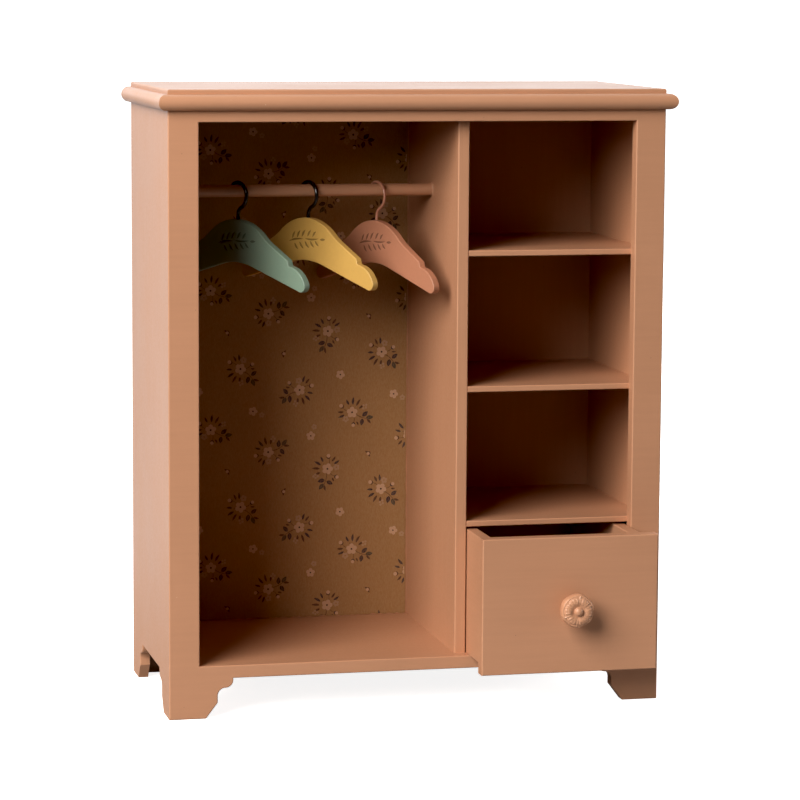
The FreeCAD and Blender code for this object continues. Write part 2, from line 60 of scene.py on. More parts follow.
def put(links, socket, value):
    """Links a socket, or sets it. A colour has three channels."""
    if isinstance(value, bpy.types.NodeSocket):
        links.new(value, socket)
    elif socket.type == "RGBA":
        socket.default_value = (*value, 1.0)
    else:
        socket.default_value = value


def mixed(nodes, links, share, first, second):
    """Two colours mixed."""
    node = nodes.new("ShaderNodeMix")
    node.data_type = "RGBA"
    put(links, node.inputs["Factor"], share)
    put(links, node.inputs[6], first)
    put(links, node.inputs[7], second)
    return node.outputs[2]


class Tree:
    """A material and short ways to fill its node tree."""

    def __init__(self, name):
        self.material = bpy.data.materials.new(name)
        self.material.use_nodes = True
        self.nodes = self.material.node_tree.nodes
        self.links = self.material.node_tree.links
        self.nodes.clear()
        output = self.nodes.new("ShaderNodeOutputMaterial")
        self.shader = self.nodes.new("ShaderNodeBsdfPrincipled")
        self.links.new(self.shader.outputs["BSDF"], output.inputs["Surface"])
        self.place = self.nodes.new("ShaderNodeTexCoord").outputs["Object"]

    def put(self, socket, value):
        """Links a socket, or sets it."""
        put(self.links, socket, value)

    def stretched(self, scale):
        """The object's coordinates, stretched."""
        node = self.nodes.new("ShaderNodeMapping")
        self.put(node.inputs["Vector"], self.place)
        node.inputs["Scale"].default_value = scale
        return node.outputs["Vector"]

    def noise(self, scale, detail=2.0, roughness=0.5, vector=None):
        """Noise from 0 to 1."""
        node = self.nodes.new("ShaderNodeTexNoise")
        self.put(node.inputs["Vector"], vector or self.place)
        node.inputs["Scale"].default_value = scale
        node.inputs["Detail"].default_value = detail
        node.inputs["Roughness"].default_value = roughness
        return node.outputs["Fac"]

    def fit(self, value, low, high, to_low=0.0, to_high=1.0):
        """A value from one range to another, clamped."""
        node = self.nodes.new("ShaderNodeMapRange")
        for name, what in (("Value", value), ("From Min", low), ("From Max", high), ("To Min", to_low),
                           ("To Max", to_high)):
            self.put(node.inputs[name], what)
        return node.outputs["Result"]

    def math(self, operation, first, second=0.0):
        """One step of arithmetic."""
        node = self.nodes.new("ShaderNodeMath")
        node.operation = operation
        self.put(node.inputs[0], first)
        self.put(node.inputs[1], second)
        return node.outputs["Value"]

    def mix(self, share, first, second):
        """Two colours mixed."""
        return mixed(self.nodes, self.links, share, first, second)

    def specks(self, scale, radius, kept):
        """Round specks: their density, size within a cell, and the share of the cells that has one."""
        node = self.nodes.new("ShaderNodeTexVoronoi")
        self.put(node.inputs["Vector"], self.place)
        node.inputs["Scale"].default_value = scale
        near = self.fit(node.outputs["Distance"], radius * 0.6, radius, 1.0, 0.0)
        split = self.nodes.new("ShaderNodeSeparateColor")
        self.put(split.inputs["Color"], node.outputs["Color"])
        return self.math("MULTIPLY", near, self.math("LESS_THAN", split.outputs["Red"], kept))

    def edges(self, radius):
        """1 on convex and concave edges, fading over a radius."""
        round_normal = self.nodes.new("ShaderNodeBevel")
        round_normal.samples = 4
        round_normal.inputs["Radius"].default_value = radius
        true_normal = self.nodes.new("ShaderNodeNewGeometry").outputs["Normal"]
        dot = self.nodes.new("ShaderNodeVectorMath")
        dot.operation = "DOT_PRODUCT"
        self.put(dot.inputs[0], round_normal.outputs["Normal"])
        self.put(dot.inputs[1], true_normal)
        return self.fit(dot.outputs["Value"], 0.997, 0.9, 0.0, 1.0)

    def bump(self, height, distance):
        """Relief of a height, in metres."""
        node = self.nodes.new("ShaderNodeBump")
        node.inputs["Strength"].default_value = 1.0
        node.inputs["Distance"].default_value = distance
        self.put(node.inputs["Height"], height)
        self.put(self.shader.inputs["Normal"], node.outputs["Normal"])


def shade(colour, factor):
    """A colour made darker or lighter."""
    return tuple(min(1.0, channel * factor) for channel in colour)


def paint(name, colour, grain=(1, 1, 1), roughness=0.42, relief=0.03, edge=0.2):
    """Satin paint on board: mottling, faint brush marks along the grain, orange peel, dust specks, and paler
    edges that are partly thin paint and partly a painted highlight. grain is small along the brush marks and
    large across them."""
    tree = Tree(name)
    mottle = tree.noise(24, 4, 0.6)
    cloud = tree.noise(5, 2)
    streaks = tree.noise(1.0, 4, 0.6, tree.stretched(tuple(420 * side for side in grain)))
    peel = tree.noise(900, 2, 0.5)
    warm = tree.mix(tree.fit(cloud, 0.35, 0.65), shade(colour, 0.965), shade(colour, 1.035))
    body = tree.mix(tree.fit(mottle, 0.3, 0.7, 0.0, 0.5), warm, shade(colour, 1.06))
    brushed = tree.mix(tree.fit(streaks, 0.35, 0.7, 0.0, 0.22), body, shade(colour, 0.86))
    # paler along convex and concave edges: partly thin paint, partly a painted highlight
    worn_and_highlit_edge = tree.math("MULTIPLY", tree.edges(0.5 * MM), tree.fit(tree.noise(150, 3), 0.35, 0.65, 0.25, 1.0))
    pale = tuple(0.55 * channel + 0.45 * light for channel, light in zip(colour, (0.86, 0.72, 0.58)))
    edged = tree.mix(tree.math("MULTIPLY", worn_and_highlit_edge, edge), brushed, pale)
    dusty = tree.mix(tree.math("MULTIPLY", tree.specks(160, 0.055, 0.16), 0.5), edged, shade(colour, 0.45))
    final = tree.mix(tree.math("MULTIPLY", tree.specks(115, 0.04, 0.1), 0.55), dusty, pale)
    tree.put(tree.shader.inputs["Base Color"], final)
    tree.put(tree.shader.inputs["Roughness"],
             tree.fit(tree.math("ADD", mottle, peel), 0.7, 1.3, roughness - 0.05, roughness + 0.06))
    tree.shader.inputs["Specular IOR Level"].default_value = 0.5
    height = tree.math("ADD", tree.math("MULTIPLY", peel, 0.55), tree.math("MULTIPLY", streaks, 0.45))
    tree.bump(height, relief * MM)
    return tree.material


def lacquer(name, colour, roughness):
    """Glossy paint on wire, with a little unevenness."""
    tree = Tree(name)
    uneven = tree.noise(420, 3, 0.6)
    worn = tree.math("MULTIPLY", tree.specks(500, 0.12, 0.12), 0.35)
    tree.put(tree.shader.inputs["Base Color"],
             tree.mix(worn, tree.mix(uneven, shade(colour, 0.8), shade(colour, 1.25)), shade(colour, 2.6)))
    tree.put(tree.shader.inputs["Roughness"], tree.fit(uneven, 0.3, 0.7, roughness, roughness + 0.14))
    tree.shader.inputs["Coat Weight"].default_value = 0.4
    tree.shader.inputs["Coat Roughness"].default_value = 0.15
    tree.bump(uneven, 0.02 * MM)
    return tree.material


def steel(name):
    """Plain zinc-plated steel."""
    tree = Tree(name)
    grain = tree.noise(1500, 3, 0.6)
    tree.put(tree.shader.inputs["Base Color"], tree.mix(grain, (0.42, 0.41, 0.39), (0.6, 0.59, 0.57)))
    tree.put(tree.shader.inputs["Roughness"], tree.fit(grain, 0.3, 0.7, 0.28, 0.45))
    tree.shader.inputs["Metallic"].default_value = 1.0
    tree.bump(grain, 0.01 * MM)
    return tree.material


def printed_paper(name):
    """Matt printed paper. The colour of each printed shape is in the sheet's own ink attribute."""
    tree = Tree(name)
    ink = tree.nodes.new("ShaderNodeAttribute")
    ink.attribute_name = "ink"
    fibres = tree.noise(1.0, 4, 0.65, tree.stretched((2200, 2200, 700)))
    cloud = tree.noise(16, 3, 0.6)
    uneven = tree.mix(tree.fit(fibres, 0.35, 0.75, 0.0, 0.16), ink.outputs["Color"], (0.72, 0.55, 0.36))
    toned = tree.mix(tree.fit(cloud, 0.4, 0.7, 0.0, 0.1), uneven, (0.3, 0.16, 0.07))
    flecks = tree.math("MULTIPLY", tree.specks(210, 0.05, 0.14), 0.35)
    tree.put(tree.shader.inputs["Base Color"], tree.mix(flecks, toned, (0.14, 0.07, 0.04)))
    tree.put(tree.shader.inputs["Roughness"], tree.fit(fibres, 0.3, 0.7, 0.68, 0.84))
    tree.shader.inputs["Specular IOR Level"].default_value = 0.35
    tree.bump(tree.math("ADD", fibres, tree.math("MULTIPLY", cloud, 2.0)), 0.04 * MM)
    return tree.material


TERRACOTTA = (0.50, 0.266, 0.158)
ALONG = {"x": (0.05, 1, 1), "y": (1, 0.05, 1), "z": (1, 1, 0.05)}
paints = {way: paint(f"terracotta_paint_{way}", TERRACOTTA, grain) for way, grain in ALONG.items()}
rod_paint = paint("rod_paint", shade(TERRACOTTA, 0.98), ALONG["x"], 0.4, 0.05)
# the knob's paint has a stronger pale edge, partly thin paint and partly a painted highlight
knob_paint = paint("knob_paint", shade(TERRACOTTA, 1.08), (1, 1, 1), 0.36, 0.015, 0.5)
steel_finish = steel("zinc_steel")
black_wire = lacquer("black_wire_lacquer", (0.012, 0.010, 0.010), 0.14)
pink_wire = lacquer("pink_wire_paint", (0.40, 0.19, 0.125), 0.3)
floral_paper = printed_paper("printed_floral_paper")

# the CAD nodes by the way that their brush marks run
FINISH = {
    "x": ("front_frame", "top_panel", "cornice_front", "floor_board", "shelf_lower", "shelf_middle",
          "shelf_upper", "drawer_front", "drawer_back", "drawer_bottom"),
    "y": ("cornice_left", "cornice_right", "drawer_side_left", "drawer_side_right", "drawer_guide_right"),
    "z": ("side_panel_left", "side_panel_right", "divider", "back_board"),
}


def finish(node, material):
    """Gives a CAD node one material."""
    mesh = frame["nodes"][node].data
    mesh.materials.clear()
    mesh.materials.append(material)


for way, nodes in FINISH.items():
    for node in nodes:
        finish(node, paints[way])
finish("hanging_rod", rod_paint)
finish("back_pins", steel_finish)
finish("knob_screw", steel_finish)
finish("hanger_hook_green", black_wire)
finish("hanger_hook_yellow", black_wire)
finish("hanger_hook_pink", pink_wire)


# ---------------------------------------------------------------- meshes


def piece(name, points, faces, materials, body, stands_for=(), smooth=True):
    """A mesh in the row frame that rides on a body."""
    mesh = bpy.data.meshes.new(name)
    mesh.from_pydata([tuple(point) for point in points], [], faces)
    mesh.validate()
    for material in materials:
        mesh.materials.append(material)
    mesh.polygons.foreach_set("use_smooth", [smooth] * len(mesh.polygons))
    thing = bpy.data.objects.new(name, mesh)
    bpy.context.scene.collection.objects.link(thing)
    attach(thing, body)
    if stands_for:
        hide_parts(*stands_for)
    return thing


def keep_flats(thing):
    """Shades flat areas flat beside rounded edges."""
    even = thing.modifiers.new("even_normals", "WEIGHTED_NORMAL")
    even.keep_sharp = True
    even.weight = 90


def ring_faces(rows, count):
    """Quads between rows of points, each row a ring."""
    faces = []
    for row in range(0, (rows - 1) * count, count):
        for k in range(count):
            after = (k + 1) % count
            faces.append((row + k, row + after, row + count + after, row + count + k))
    return faces


def weld(thing, distance):
    """Joins points that lie together."""
    made = bmesh.new()
    made.from_mesh(thing.data)
    bmesh.ops.remove_doubles(made, verts=made.verts, dist=distance)
    bmesh.ops.recalc_face_normals(made, faces=made.faces)
    made.to_mesh(thing.data)
    made.free()


def smooth_step(low, high, value):
    """0 below low, 1 above high, smooth between."""
    share = max(0.0, min(1.0, (value - low) / (high - low)))
    return share * share * (3 - 2 * share)


# ---------------------------------------------------------------- the knob's rosette

# radii, heights and depths in mm, and how many petals, points round and rings there are
PETALS = 6
FIRST_PETAL = math.radians(23)
PETAL_FOOT = 12.25
PETAL_REACH = 7.2
PETAL_CORNER = 0.8
BUTTON = 2.15
BUTTON_RISE = 0.25
BUTTON_ROUND = 0.85
RIB = 0.11
CREASE = 0.12
VEIN = 0.3
GROOVE = 0.26
FACE_RADIUS = 7.6
FACE_FALL = 0.55
SCALLOP = 0.32
ROUND_POINTS = 288
FACE_RINGS = 66
# the rolled rim, as radius and depth below the edge of the face
RIM = [(7.85, 0.14), (8.08, 0.4), (8.28, 0.8), (8.42, 1.3), (8.49, 1.9)]
# the turned back and foot, as radius and height above the drawer
TURNED = [(8.5, 9.0), (8.46, 8.1), (8.36, 7.4), (8.16, 6.75), (7.8, 6.15), (7.3, 5.7), (6.6, 5.35),
          (5.8, 5.05), (5.05, 4.7), (4.5, 4.25), (4.15, 3.65), (3.98, 3.0), (3.94, 2.4), (4.02, 1.8),
          (4.2, 1.3), (4.36, 0.95), (4.42, 0.55), (4.4, 0.25), (4.3, 0.0)]


def petal_place(angle):
    """Where an angle lies across its petal, from -1 to 1."""
    pitch = TURN / PETALS
    return ((angle - FIRST_PETAL) % pitch) / pitch * 2 - 1


def rosette_height(radius, angle):
    """How far the rosette's face stands from the drawer, in mm, at a radius and an angle."""
    if radius < BUTTON:
        return PETAL_FOOT + BUTTON_RISE + math.sqrt(BUTTON**2 - radius**2) * BUTTON_ROUND
    across = petal_place(angle)
    petal_end = PETAL_REACH - PETAL_CORNER * across * across
    inside = smooth_step(petal_end + 0.05, petal_end - 0.45, radius)
    crown = 0.12 + 0.72 * smooth_step(2.3, 4.6, radius) - 0.55 * smooth_step(4.9, 7.0, radius)
    pillow = 1 - 0.6 * abs(across) ** 3
    ribs = RIB * math.cos(across * math.pi * 4) * smooth_step(3.9, 5.6, radius) * (1 - abs(across) ** 6)
    crease = -CREASE * math.exp(-((across / 0.1) ** 2)) * smooth_step(2.6, 3.4, radius)
    gap = (1 - abs(across)) * TURN / PETALS / 2 * radius
    vein = VEIN * math.exp(-((gap / 0.24) ** 2)) * smooth_step(3.0, 4.2, radius)
    groove = -GROOVE * math.exp(-(((radius - petal_end - 0.12) / 0.22) ** 2)) * (1 - abs(across) ** 4)
    fall = -FACE_FALL * smooth_step(6.2, FACE_RADIUS, radius)
    return PETAL_FOOT + inside * (crown * pillow + ribs + crease) + vein + groove + fall


def knob():
    """A turned knob whose face is a rosette: a button, six ribbed petals and a rolled rim."""
    low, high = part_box("drawer_knob")
    centre = (low + high) / 2
    angles = [TURN * k / ROUND_POINTS for k in range(ROUND_POINTS)]
    rings = []
    for step in range(1, FACE_RINGS + 1):
        radius = FACE_RADIUS * step / FACE_RINGS
        rings.append([(radius, rosette_height(radius, angle)) for angle in angles])
    edge = PETAL_FOOT - FACE_FALL
    for radius, height in [(radius, edge - depth) for radius, depth in RIM] + TURNED:
        dent = SCALLOP * smooth_step(7.4, 8.3, radius)
        rings.append([(radius - dent * math.cos(petal_place(angle) * math.pi / 2) ** 2, height)
                      for angle in angles])
    points = []
    for ring in rings:
        for angle, (radius, height) in zip(angles, ring):
            points.append((centre.x + MM * radius * math.cos(angle), high.y - MM * height,
                           centre.z + MM * radius * math.sin(angle)))
    tip = len(points)
    points.append((centre.x, high.y - MM * rosette_height(0, 0), centre.z))
    points.append((centre.x, high.y, centre.z))
    faces = [tuple(reversed(face)) for face in ring_faces(len(rings), ROUND_POINTS)]
    last = (len(rings) - 1) * ROUND_POINTS
    faces += [(tip, k, (k + 1) % ROUND_POINTS) for k in range(ROUND_POINTS)]
    faces += [(tip + 1, last + (k + 1) % ROUND_POINTS, last + k) for k in range(ROUND_POINTS)]
    piece("rosette_knob", points, faces, [knob_paint], "drawer", ["drawer_knob"])


knob()


# ---------------------------------------------------------------- flat shapes, in mm

# points closer than this, in mm, count as one when shapes are cut into faces
SAME_POINT = 1e-5


def lens(x, y, angle, length, width, bend=0.0, steps=7):
    """The outline and the middle line of a leaf that starts at a point and runs at an angle."""
    along = Vector((math.cos(angle), math.sin(angle)))
    aside = Vector((-along.y, along.x))
    start = Vector((x, y))
    middle = []
    left = []
    right = []
    for step in range(steps + 1):
        share = step / steps
        spine = start + along * length * share + aside * bend * math.sin(math.pi * share)
        half = width / 2 * math.sin(math.pi * share**0.85) ** 0.9 if 0 < step < steps else 0
        middle.append(spine)
        if half:
            left.append(spine + aside * half)
            right.append(spine - aside * half)
    return [middle[0], *right, middle[-1], *reversed(left)], middle


def disc(x, y, radius, count):
    """A round outline."""
    return [Vector((x + radius * math.cos(TURN * k / count), y + radius * math.sin(TURN * k / count)))
            for k in range(count)]


def stroke(points, width):
    """The outline of a thin tapering line through points."""
    left = []
    right = []
    for k, point in enumerate(points):
        before = points[max(k - 1, 0)]
        after = points[min(k + 1, len(points) - 1)]
        along = (after - before).normalized()
        half = width / 2 * (0.55 + 0.45 * math.sin(math.pi * k / (len(points) - 1)))
        left.append(point + Vector((-along.y, along.x)) * half)
        right.append(point - Vector((-along.y, along.x)) * half)
    return right + left[::-1]


def arc_points(start, end, bulge, steps):
    """Points of a shallow curve between two ends."""
    start, end = Vector(start), Vector(end)
    aside = bulge * Vector((start.y - end.y, end.x - start.x)).normalized()
    return [start.lerp(end, k / steps) + aside * math.sin(math.pi * k / steps) for k in range(steps + 1)]


# ---------------------------------------------------------------- the printed paper

# sizes in mm, with each sprig's turn in degrees and whether it is mirrored
REPEAT_X = 75.5
REPEAT_Y = 73.0
REPEAT_LEAN = 0.1
SPRIG_SCALE = 1.12
SPRIG_TURNS = ((12, False), (196, False), (88, True), (-34, False), (150, True))
FILLER_KINDS = (1, 0, 2, 1, 2)
FILLER_X = 22.6
FILLER_Y = 8.6
PRINT_MARGIN = 0.7
PAPER_LEFT = 0.25
PAPER_RIGHT = 0.55
PAPER_BOTTOM = 0.2
BOTTOM_TEAR = 0.6
RIGHT_TEAR = 0.3

INKS = {
    "ground": (0.330, 0.180, 0.075),
    "blush": (0.510, 0.320, 0.205),
    "shell": (0.400, 0.245, 0.145),
    "seed": (0.045, 0.016, 0.014),
    "plum": (0.050, 0.026, 0.034),
    "bark": (0.095, 0.036, 0.022),
    "moss": (0.070, 0.052, 0.036),
    "stem": (0.165, 0.078, 0.034),
}


def bloom(x, y, radius, ink, turn, heart="seed"):
    """A flower with five round petals and a heart."""
    shapes = [(disc(x, y, radius * 0.5, 10), ink)]
    out = 0.58 * radius
    for k in range(5):
        angle = turn + TURN * k / 5
        petal = disc(x + out * math.cos(angle), y + out * math.sin(angle), radius * 0.4, 11)
        shapes.append((petal, ink))
    shapes.append((disc(x, y, radius * (0.17 if heart == "seed" else 0.24), 8), heart))
    return shapes


def bud(x, y, radius, degrees, cup):
    """A round bud in a dark cup that opens at an angle."""
    across = radius * math.cos(math.radians(degrees))
    up = radius * math.sin(math.radians(degrees))
    return [(disc(x - 0.34 * across, y - 0.34 * up, radius, 11), cup),
            (disc(x + 0.18 * across, y + 0.18 * up, radius * 0.92, 11), "blush")]


def leaf(x, y, degrees, length, width, ink, vein=False, bend=0.0):
    """A leaf, with a pale middle vein on a broad one."""
    outline, middle = lens(x, y, math.radians(degrees), length, width, bend)
    shapes = [(outline, ink)]
    if vein:
        shapes.append((stroke(middle[1:-2], 0.2), "stem"))
    return shapes


def sprig():
    """A posy about 17 by 14 mm: a flower in the middle, a smaller one, blossoms, buds, three broad leaves
    on a curved stem and two fans of narrow ones."""
    shapes = [(stroke(arc_points((-3.4, 1.4), (7.0, 0.9), -1.5, 12), 0.42), "stem")]
    shapes.append((stroke(arc_points((-5.9, -1.3), (-1.2, -0.8), -0.4, 6), 0.3), "stem"))
    shapes.append((stroke(arc_points((0.3, -1.4), (2.6, -4.6), 0.5, 6), 0.3), "stem"))
    for placed in (
        (4.3, 0.5, 74, 3.5, 2.0, "plum"), (6.2, 1.0, 38, 3.5, 1.9, "moss"),
        (5.0, -0.4, -66, 3.3, 1.9, "plum"),
    ):
        shapes += leaf(*placed, vein=True)
    for placed in (
        (6.9, 0.6, -14, 2.8, 1.05, "bark"), (-2.6, 2.6, 118, 3.7, 1.15, "plum"),
        (-0.9, 3.0, 92, 3.9, 1.1, "bark"), (0.9, 2.7, 66, 2.9, 1.0, "bark"),
        (-4.1, 1.6, 152, 2.9, 1.0, "plum"), (-4.4, -2.6, 214, 3.0, 1.0, "bark"),
        (-3.3, -3.6, 236, 3.2, 1.05, "plum"), (3.3, -3.1, -28, 2.0, 0.8, "bark"),
    ):
        shapes += leaf(*placed, bend=0.12)
    shapes += bud(-6.9, -0.9, 1.0, 176, "bark")
    shapes += bud(2.9, -5.2, 0.9, -70, "plum")
    for x, y in ((2.6, 3.9), (3.4, 4.9), (1.9, 5.1), (2.8, 6.0)):
        shapes.append((disc(x, y, 0.58, 8), "shell"))
    shapes += bloom(-1.7, -4.9, 1.65, "shell", 0.3, "ground")
    shapes += bloom(-0.9, -0.6, 2.75, "blush", 0.9)
    return shapes


def filler(kind):
    """What stands between the sprigs: a flower, a flower with a small one, or a bud with two leaves."""
    if kind == 0:
        return bloom(0, 0, 2.5, "blush", 0.5)
    if kind == 1:
        return bloom(-1.2, -1.0, 2.5, "blush", 1.1) + bloom(2.4, 2.6, 1.6, "shell", 0.2, "ground")
    leaves = leaf(0.1, -0.4, 205, 1.9, 0.95, "bark") + leaf(0.3, 0.1, 62, 1.9, 0.95, "bark")
    return leaves + bud(0.2, -0.1, 0.9, 135, "bark")


def moved(shapes, x, y, degrees, flip, scale=1.0):
    """Shapes scaled, turned, mirrored if asked, and put at a point."""
    turn = Matrix.Rotation(math.radians(degrees), 2)
    out = []
    for outline, ink in shapes:
        points = [turn @ Vector((-p.x if flip else p.x, p.y)) * scale + Vector((x, y)) for p in outline]
        out.append((points[::-1] if flip else points, ink))
    return out


def print_shapes(width, height):
    """Every printed shape on a sheet: five sprigs and five fillers to each repeat, in sateen order."""
    shapes = []
    for column in range(-1, int(width / REPEAT_X) + 2):
        for row in range(-1, int(height / REPEAT_Y) + 2):
            for k, (degrees, flip) in enumerate(SPRIG_TURNS):
                x = (column + k / 5) * REPEAT_X - 9.0
                y = (row + (2 * k % 5) / 5) * REPEAT_Y + REPEAT_LEAN * x + 10.0
                shapes += moved(sprig(), x, y, degrees, flip, SPRIG_SCALE)
                shapes += moved(filler(FILLER_KINDS[k]), x + FILLER_X, y + FILLER_Y, degrees * 2, flip)
    return shapes


def clipped(outline, width, height):
    """An outline held inside the sheet's margin, or nothing if it lies outside."""
    right = width - PRINT_MARGIN
    top = height - PRINT_MARGIN
    held = [Vector((min(max(p.x, PRINT_MARGIN), right), min(max(p.y, PRINT_MARGIN), top))) for p in outline]
    if all((a - b).length > 1e-6 for a, b in zip(held, outline)):
        return None
    area = sum(held[k - 1].x * p.y - p.x * held[k - 1].y for k, p in enumerate(held)) / 2
    if area <= 0.05:
        return None
    return [p for k, p in enumerate(held) if (p - held[k - 1]).length > 1e-4]


def paper():
    """The papered back of the hanging bay: one thin sheet whose printed shapes are faces of their own."""
    low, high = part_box("back_paper")
    width = (high.x - low.x) / MM
    height = (high.z - low.z) / MM
    rng = random.Random(11)
    right = width - PAPER_RIGHT
    run = right - PAPER_LEFT
    bottom = [Vector((PAPER_LEFT + run * k / 92, PAPER_BOTTOM + BOTTOM_TEAR * rng.random() ** 2))
              for k in range(93)]
    edge = [Vector((right - RIGHT_TEAR * rng.random() ** 2, 4.0 + (height - 8.0) * k / 80))
            for k in range(81)]
    outline = bottom + edge + [Vector((right, height)), Vector((PAPER_LEFT, height))]
    points = list(outline)
    loops = [list(range(len(outline)))]
    inks = ["ground"]
    for shape, ink in print_shapes(width, height):
        held = clipped(shape, right, height)
        if held:
            loops.append(list(range(len(points), len(points) + len(held))))
            points += held
            inks.append(ink)
    flat, _, faces, _, _, sources = delaunay_2d_cdt(points, [], loops, 1, SAME_POINT)
    count = len(flat)
    front = [(low.x + MM * p.x, low.y, low.z + MM * p.y) for p in flat]
    rim = rim_of(faces)
    back = [(low.x + MM * flat[k].x, high.y, low.z + MM * flat[k].y) for k in rim]
    step = len(rim)
    sides = [(rim[(k + 1) % step], rim[k], count + k, count + (k + 1) % step) for k in range(step)]
    solid = [tuple(face) for face in faces] + sides + [tuple(count + k for k in reversed(range(step)))]
    sheet = piece("floral_wallpaper", front + back, solid, [floral_paper], "carcass",
                  ["back_paper"], smooth=False)
    ink = sheet.data.color_attributes.new("ink", "FLOAT_COLOR", "CORNER")
    for polygon in sheet.data.polygons:
        shape = 0
        if polygon.index < len(faces):
            centre = sum((flat[k] for k in faces[polygon.index]), Vector((0, 0))) / len(faces[polygon.index])
            over = [k for k in sources[polygon.index] if holds([points[p] for p in loops[k]], centre)]
            shape = max(over, default=0)
        for corner in polygon.loop_indices:
            ink.data[corner].color = (*INKS[inks[shape]], 1.0)


def holds(outline, point):
    """Whether an outline goes round a point."""
    crossings = 0
    for k, b in enumerate(outline):
        a = outline[k - 1]
        if (a.y > point.y) != (b.y > point.y):
            crossings += point.x < a.x + (b.x - a.x) * (point.y - a.y) / (b.y - a.y)
    return crossings % 2 == 1


def rim_of(faces):
    """The loop of points round a flat set of faces, in their own turning direction."""
    sides = {(face[k - 1], face[k]) for face in faces for k in range(len(face))}
    after = {a: b for a, b in sides if (b, a) not in sides}
    first = min(after)
    loop = [first]
    while after[loop[-1]] != first:
        loop.append(after[loop[-1]])
    return loop


paper()


# ---------------------------------------------------------------- the hangers

# the angle of each board to the rod, as in the CAD model, and its paint
HANGERS = {"green": (60, (0.190, 0.258, 0.196)), "yellow": (62.3, (0.545, 0.340, 0.103)),
           "pink": (68, (0.430, 0.203, 0.123))}
# in mm, the board's thickness, the rounding of its edges here and in the CAD model, and the sprig's depth
BOARD = 3.6
ROUND = 0.42
CAD_ROUND = 0.5
ENGRAVED = 0.55
# how many steps round an edge, and how dark the painted shade in the engraved grooves is beside the board's
# paint
ROUND_STEPS = 5
ENGRAVED_SHADE = 0.48


def board_contour(node, stem, angle):
    """The outline of a hanger board in its own plane, in mm, from the CAD node's edge where its rounding
    starts, counted from the stem."""
    along = Vector((math.cos(angle), -math.sin(angle), 0))
    through = Vector((math.sin(angle), math.cos(angle), 0))
    mesh = frame["nodes"][node].data
    local = [((v.co - stem).dot(along) / MM, (v.co - stem).dot(through) / MM, v.co.z / MM)
             for v in mesh.vertices]
    level = CAD_ROUND - BOARD / 2
    joined = {}
    for edge in mesh.edges:
        ends = [local[k] for k in edge.vertices]
        if all(abs(end[1] - level) < 0.01 for end in ends):
            a, b = [(round(end[0], 3), round(end[2], 3)) for end in ends]
            if a != b:
                joined.setdefault(a, set()).add(b)
                joined.setdefault(b, set()).add(a)
    start = max(joined, key=lambda point: point[0])
    loop = [start]
    last = None
    here = start
    while True:
        onward = [point for point in joined[here] if point != last]
        last, here = here, min(onward, key=lambda point: point[1] if last is None else 0)
        if here == start:
            break
        loop.append(here)
    area = sum(a[0] * b[1] - b[0] * a[1] for a, b in zip(loop, loop[1:] + loop[:1]))
    return [Vector(point) for point in (loop if area > 0 else loop[::-1])]


def inset(loop, distance):
    """The loop moved inwards."""
    out = []
    for k, point in enumerate(loop):
        before = (point - loop[k - 1]).normalized()
        after = (loop[(k + 1) % len(loop)] - point).normalized()
        inwards = Vector((-before.y - after.y, before.x + after.x)).normalized()
        lean = max(0.6, inwards.dot(Vector((-after.y, after.x))))
        out.append(point + inwards * distance / lean)
    return out


def engraving(top):
    """Strokes of a small leafy sprig below the top of a hanger: outlines and middle lines, in mm."""
    stem = ((-13.5, -12.6, 8, 12.0, 0.95, 0.6), (-0.6, -10.6, 3, 11.2, 0.9, -0.5))
    upper = ((-10.8, -11.2, 58, 4.6, 1.25, 0.3), (-7.0, -10.6, 55, 4.9, 1.3, 0.3),
             (-3.1, -9.9, 52, 4.8, 1.3, 0.3), (1.4, -9.5, 50, 4.6, 1.25, 0.3), (5.4, -9.5, 46, 4.2, 1.2, 0.3))
    lower = ((-9.0, -13.2, -48, 4.4, 1.25, -0.3), (-5.0, -12.4, -46, 4.8, 1.3, -0.3),
             (-0.8, -11.9, -44, 4.8, 1.3, -0.3), (3.4, -11.6, -44, 4.6, 1.25, -0.3),
             (7.3, -11.3, -40, 4.0, 1.2, -0.3))
    tip = ((11.3, -10.5, 4, 4.2, 1.3, 0.0),)
    return [lens(x, top + y, math.radians(degrees), length, width, bend, 9)
            for x, y, degrees, length, width, bend in stem + upper + lower + tip]


def board_mesh(contour):
    """A hanger board in its own plane, in mm: its points, its faces and the numbers of the engraved faces."""
    count = len(contour)
    turns = [math.pi / 2 * k / ROUND_STEPS for k in range(ROUND_STEPS + 1)]
    steps = [(ROUND * (1 - math.cos(turn)), BOARD / 2 - ROUND + ROUND * math.sin(turn)) for turn in turns]
    levels = [(inset(contour, distance), -depth) for distance, depth in reversed(steps)]
    levels += [(inset(contour, distance), depth) for distance, depth in steps]
    points = [Vector((p.x, depth, p.y)) for loop, depth in levels for p in loop]
    faces = ring_faces(len(levels), count)
    engraved = set()
    for is_front, (loop, depth) in ((True, levels[0]), (False, levels[-1])):
        flat_points = list(loop)
        loops = [list(range(count))]
        lines = []
        sunk = set()
        strokes = engraving(max(p.y for p in contour)) if is_front else ()
        for outline, middle in strokes:
            base = len(flat_points)
            flat_points += outline
            loops.append(list(range(base, base + len(outline))))
            inner = list(range(len(flat_points), len(flat_points) + len(middle) - 2))
            flat_points += middle[1:-1]
            lines += list(zip(inner, inner[1:]))
            sunk.update(inner)
        flat, _, cells, origins, _, outlines = delaunay_2d_cdt(flat_points, lines, loops, 1, SAME_POINT)
        base = len(points)
        engraved.update(len(faces) + k for k, inside in enumerate(outlines) if max(inside) > 0)
        for k, p in enumerate(flat):
            deep = any(origin in sunk for origin in origins[k])
            points.append(Vector((p.x, depth + (ENGRAVED if deep else 0.0), p.y)))
        faces += [tuple(base + k for k in (cell if is_front else cell[::-1])) for cell in cells]
    return points, faces, engraved


